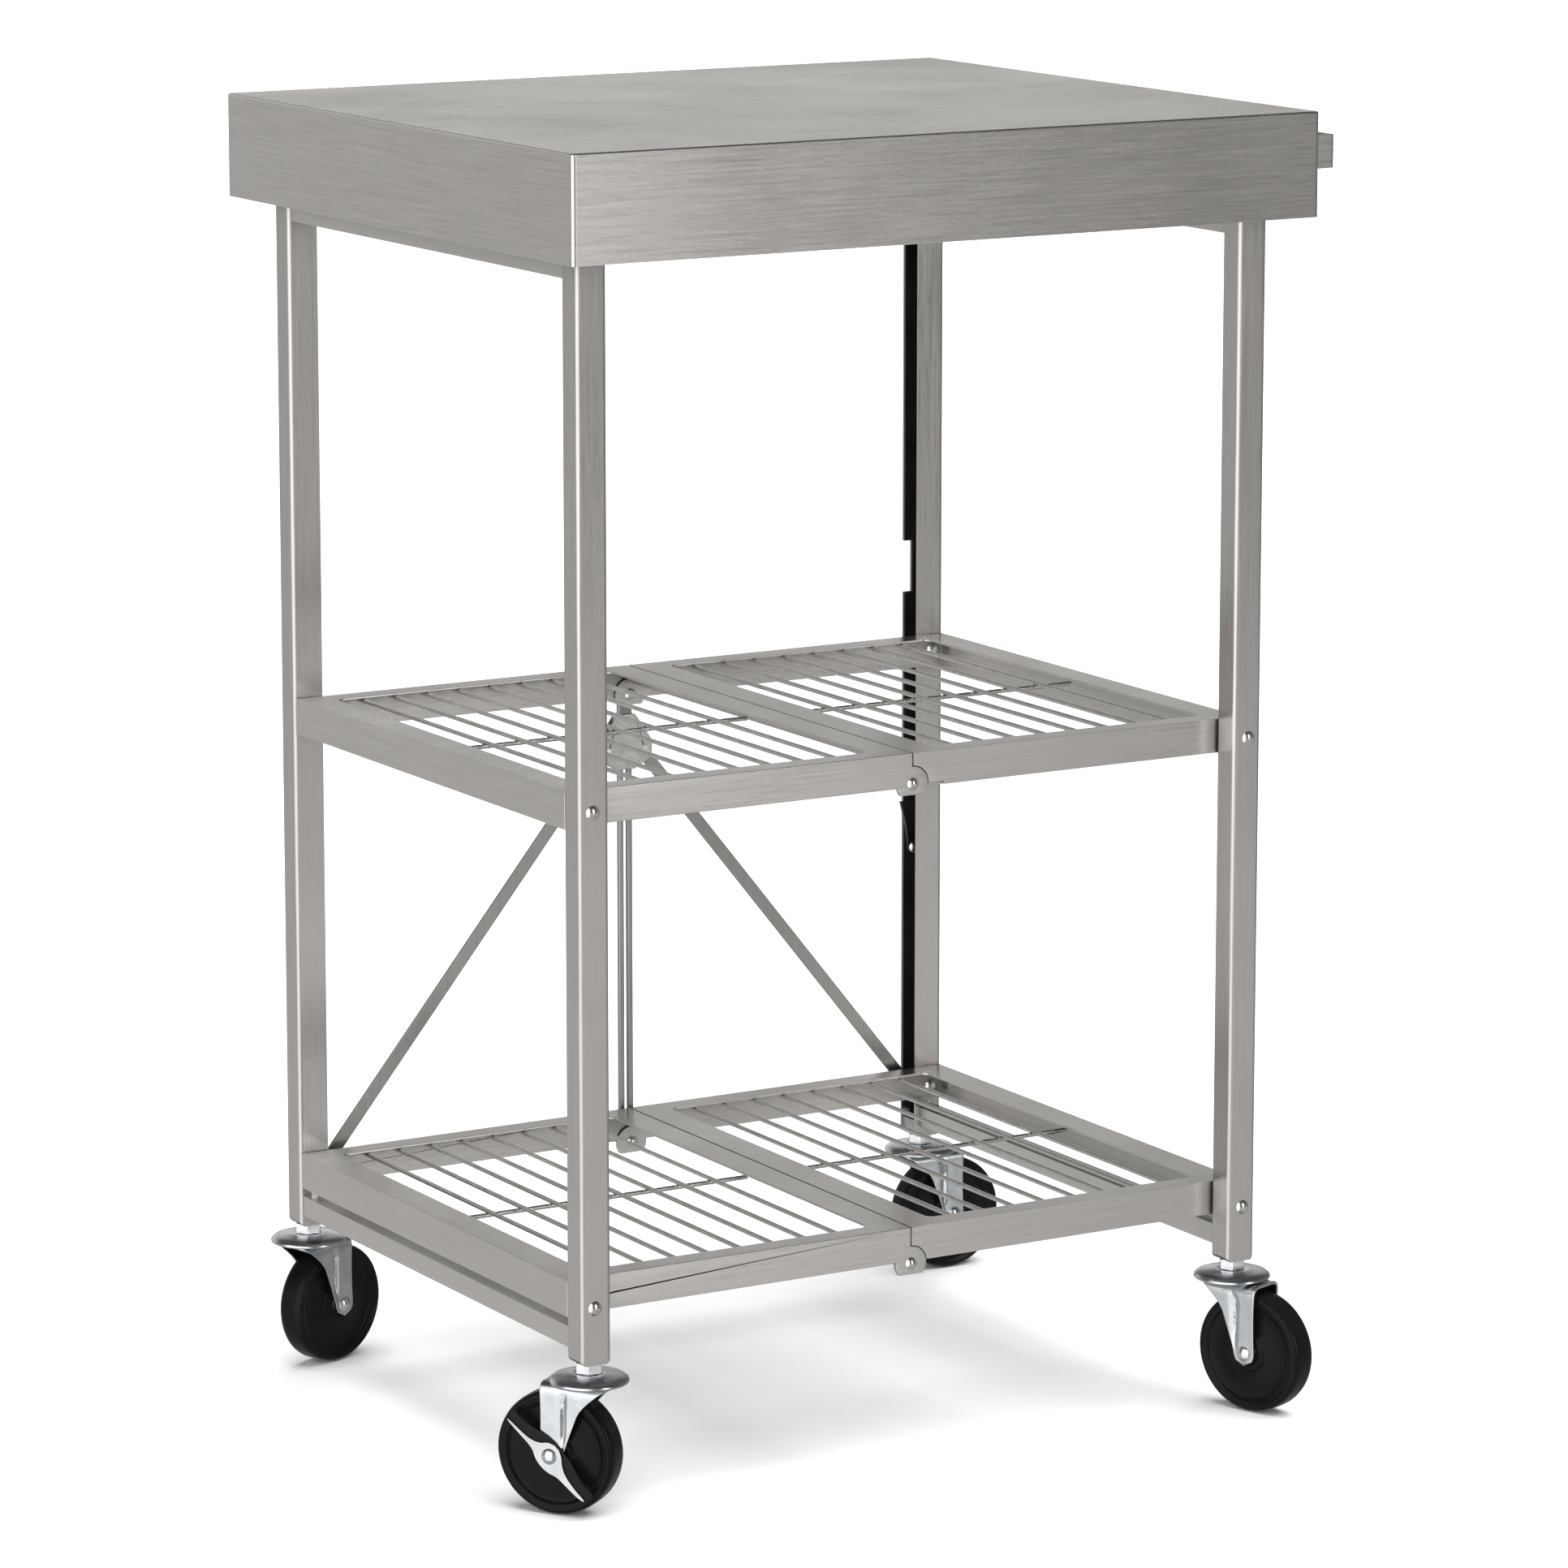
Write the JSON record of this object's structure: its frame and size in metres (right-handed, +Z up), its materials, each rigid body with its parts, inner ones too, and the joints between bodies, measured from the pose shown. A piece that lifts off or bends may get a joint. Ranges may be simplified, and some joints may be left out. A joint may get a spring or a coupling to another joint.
{
  "type": "folding kitchen island cart",
  "caption": "Folding stainless kitchen cart: deep pan top, channel-leg end frames, wire shelves that fold upwards, swivel casters.",
  "frame": {"origin": "middle of the whole cart's box, on the floor", "axes": "+X along the worktop to the end with the side handle, +Y from the front to the back, +Z up"},
  "size_m": [0.63, 0.514, 0.9],
  "materials": {
    "brushed_pan": "brushed stainless steel, long straight grain",
    "brushed_frame": "brushed stainless steel, grain along each leg",
    "brushed_shelf": "brushed stainless steel, grain along each border",
    "bright_wire": "drawn stainless wire",
    "brushed_linkage": "rolled stainless strip",
    "galvanised_inner": "plain zinc-coated steel",
    "bright_rivet": "polished rivet heads",
    "caster_zinc": "bright zinc plate",
    "black_wheel": "moulded, glossy",
    "black_plastic": "moulded, satin",
    "black_coated_steel": "black coating, satin"
  },
  "bodies": {
    "left_frame": {"left_front_leg": "brushed_frame", "left_back_leg": "brushed_frame", "left_top_rail": "brushed_frame", "left_foot_rail": "brushed_frame", "left_leg_plugs": "black_plastic", "left_foot_plates": "galvanised_inner", "left_frame_pins": "bright_rivet", "left_caster_stems": "caster_zinc"},
    "right_frame": {"right_front_leg": "brushed_frame", "right_back_leg": "brushed_frame", "right_top_rail": "brushed_frame", "right_foot_rail": "brushed_frame", "right_leg_plugs": "black_plastic", "right_foot_plates": "galvanised_inner", "right_frame_pins": "bright_rivet", "right_caster_stems": "caster_zinc", "right_lock_bar": "black_coated_steel", "right_lever_bolt": "bright_rivet"},
    "top": {"top_pan": "brushed_pan", "top_stiffeners": "galvanised_inner", "top_corner_blocks": "black_plastic", "side_handle": "brushed_frame", "side_handle_screws": "bright_rivet"},
    "middle_left": {"middle_left_tray": "brushed_shelf", "middle_left_wires": "bright_wire", "middle_knee_pins": "bright_rivet"},
    "middle_right": {"middle_right_tray": "brushed_shelf", "middle_right_wires": "bright_wire"},
    "bottom_left": {"bottom_left_tray": "brushed_shelf", "bottom_left_wires": "bright_wire", "bottom_knee_pins": "bright_rivet"},
    "bottom_right": {"bottom_right_tray": "brushed_shelf", "bottom_right_wires": "bright_wire"},
    "centre_rod": {"centre_rod": "brushed_linkage"},
    "slide_bracket": {"slide_bracket": "brushed_linkage", "slide_bracket_pins": "bright_rivet"},
    "left_brace": {"left_brace": "brushed_linkage"},
    "right_brace": {"right_brace": "brushed_linkage"},
    "lock_lever": {"right_lock_lever": "black_coated_steel"},
    "caster_front_left": {"caster_front_left_fork": "caster_zinc", "caster_front_left_axle": "caster_zinc"},
    "wheel_front_left": {"caster_front_left_wheel": "black_wheel", "caster_front_left_bush": "caster_zinc"},
    "brake_front_left": {"caster_front_left_brake_pad": "black_plastic", "caster_front_left_brake_strap": "caster_zinc"},
    "caster_front_right": {"caster_front_right_fork": "caster_zinc", "caster_front_right_axle": "caster_zinc"},
    "wheel_front_right": {"caster_front_right_wheel": "black_wheel", "caster_front_right_bush": "caster_zinc"},
    "caster_back_left": {"caster_back_left_fork": "caster_zinc", "caster_back_left_axle": "caster_zinc"},
    "wheel_back_left": {"caster_back_left_wheel": "black_wheel", "caster_back_left_bush": "caster_zinc"},
    "caster_back_right": {"caster_back_right_fork": "caster_zinc", "caster_back_right_axle": "caster_zinc"},
    "wheel_back_right": {"caster_back_right_wheel": "black_wheel", "caster_back_right_bush": "caster_zinc"},
    "brake_back_right": {"caster_back_right_brake_pad": "black_plastic", "caster_back_right_brake_strap": "caster_zinc"}
  },
  "joints": [
    {"name": "fold", "type": "hinge", "parent": "left_frame", "child": "middle_left", "pos_m": [-0.27148, 0.00999, 0.4715], "axis": [0, -1, 0], "range_deg": [0, 76]},
    {"name": "middle_knee", "type": "hinge", "parent": "middle_left", "child": "middle_right", "pos_m": [-0.01648, 0.00999, 0.4615], "axis": [0, -1, 0], "range_deg": [-153, 0.5]},
    {"name": "right_frame_hinge", "type": "hinge", "parent": "middle_right", "child": "right_frame", "pos_m": [0.23852, 0.00999, 0.4715], "axis": [0, -1, 0], "range_deg": [-0.5, 76.5]},
    {"name": "bottom_fold", "type": "hinge", "parent": "left_frame", "child": "bottom_left", "pos_m": [-0.27148, 0.00999, 0.1425], "axis": [0, -1, 0], "range_deg": [-0.5, 76.5]},
    {"name": "bottom_knee", "type": "hinge", "parent": "bottom_left", "child": "bottom_right", "pos_m": [-0.01648, 0.00999, 0.1325], "axis": [0, -1, 0], "range_deg": [-153, 0.5]},
    {"name": "rod_pivot", "type": "hinge", "parent": "middle_left", "child": "centre_rod", "pos_m": [-0.01648, 0.20789, 0.4615], "axis": [0, -1, 0], "range_deg": [-76.5, 0.5]},
    {"name": "bracket_slide", "type": "slide", "parent": "centre_rod", "child": "slide_bracket", "axis": [0, 0, 1], "range_m": [-0.17475, 0.0005]},
    {"name": "left_brace_swing", "type": "hinge", "parent": "left_frame", "child": "left_brace", "pos_m": [-0.27048, 0.21399, 0.128], "axis": [0, -1, 0], "range_deg": [-0.5, 31.36]},
    {"name": "right_brace_swing", "type": "hinge", "parent": "right_frame", "child": "right_brace", "pos_m": [0.23752, 0.21399, 0.128], "axis": [0, 1, 0], "range_deg": [-0.5, 31.36]},
    {"name": "top_lift", "type": "slide", "parent": "left_frame", "child": "top", "axis": [0, 0, 1], "range_m": [0, 0.11]},
    {"name": "lock_lever_turn", "type": "hinge", "parent": "right_frame", "child": "lock_lever", "pos_m": [0.23352, 0.22549, 0.321], "axis": [0, 1, 0], "range_deg": [0, 10]},
    {"name": "swivel_front_left", "type": "hinge", "parent": "left_frame", "child": "caster_front_left", "pos_m": [-0.27048, -0.19501, 0.097], "axis": [0, 0, 1], "continuous": true},
    {"name": "roll_front_left", "type": "hinge", "parent": "caster_front_left", "child": "wheel_front_left", "pos_m": [-0.28282, -0.17802, 0.042], "axis": [-0.809, -0.5878, 0], "continuous": true},
    {"name": "brake_pedal_front_left", "type": "hinge", "parent": "caster_front_left", "child": "brake_front_left", "pos_m": [-0.28282, -0.17802, 0.042], "axis": [-0.809, -0.5878, 0], "range_deg": [0, 12]},
    {"name": "swivel_front_right", "type": "hinge", "parent": "right_frame", "child": "caster_front_right", "pos_m": [0.23752, -0.19501, 0.097], "axis": [0, 0, 1], "continuous": true},
    {"name": "roll_front_right", "type": "hinge", "parent": "caster_front_right", "child": "wheel_front_right", "pos_m": [0.2447, -0.21475, 0.042], "axis": [0.9397, 0.342, 0], "continuous": true},
    {"name": "swivel_back_left", "type": "hinge", "parent": "left_frame", "child": "caster_back_left", "pos_m": [-0.27048, 0.21499, 0.097], "axis": [0, 0, 1], "continuous": true},
    {"name": "roll_back_left", "type": "hinge", "parent": "caster_back_left", "child": "wheel_back_left", "pos_m": [-0.25075, 0.22217, 0.042], "axis": [-0.342, 0.9397, 0], "continuous": true},
    {"name": "swivel_back_right", "type": "hinge", "parent": "right_frame", "child": "caster_back_right", "pos_m": [0.23752, 0.21499, 0.097], "axis": [0, 0, 1], "continuous": true},
    {"name": "roll_back_right", "type": "hinge", "parent": "caster_back_right", "child": "wheel_back_right", "pos_m": [0.25852, 0.21499, 0.042], "axis": [0, 1, 0], "continuous": true},
    {"name": "brake_pedal_back_right", "type": "hinge", "parent": "caster_back_right", "child": "brake_back_right", "pos_m": [0.25852, 0.21499, 0.042], "axis": [0, 1, 0], "range_deg": [0, 12]}
  ],
  "couplings": [
    {"joint": "middle_knee", "follows": "fold", "ratio": -2},
    {"joint": "right_frame_hinge", "follows": "fold", "ratio": 1},
    {"joint": "bottom_fold", "follows": "fold", "ratio": 1},
    {"joint": "bottom_knee", "follows": "fold", "ratio": -2},
    {"joint": "rod_pivot", "follows": "fold", "ratio": -1},
    {"joint": "bracket_slide", "follows": "fold", "m_per_rad": -0.13099},
    {"joint": "left_brace_swing", "follows": "fold", "ratio": 0.40603},
    {"joint": "right_brace_swing", "follows": "fold", "ratio": 0.40603}
  ]
}
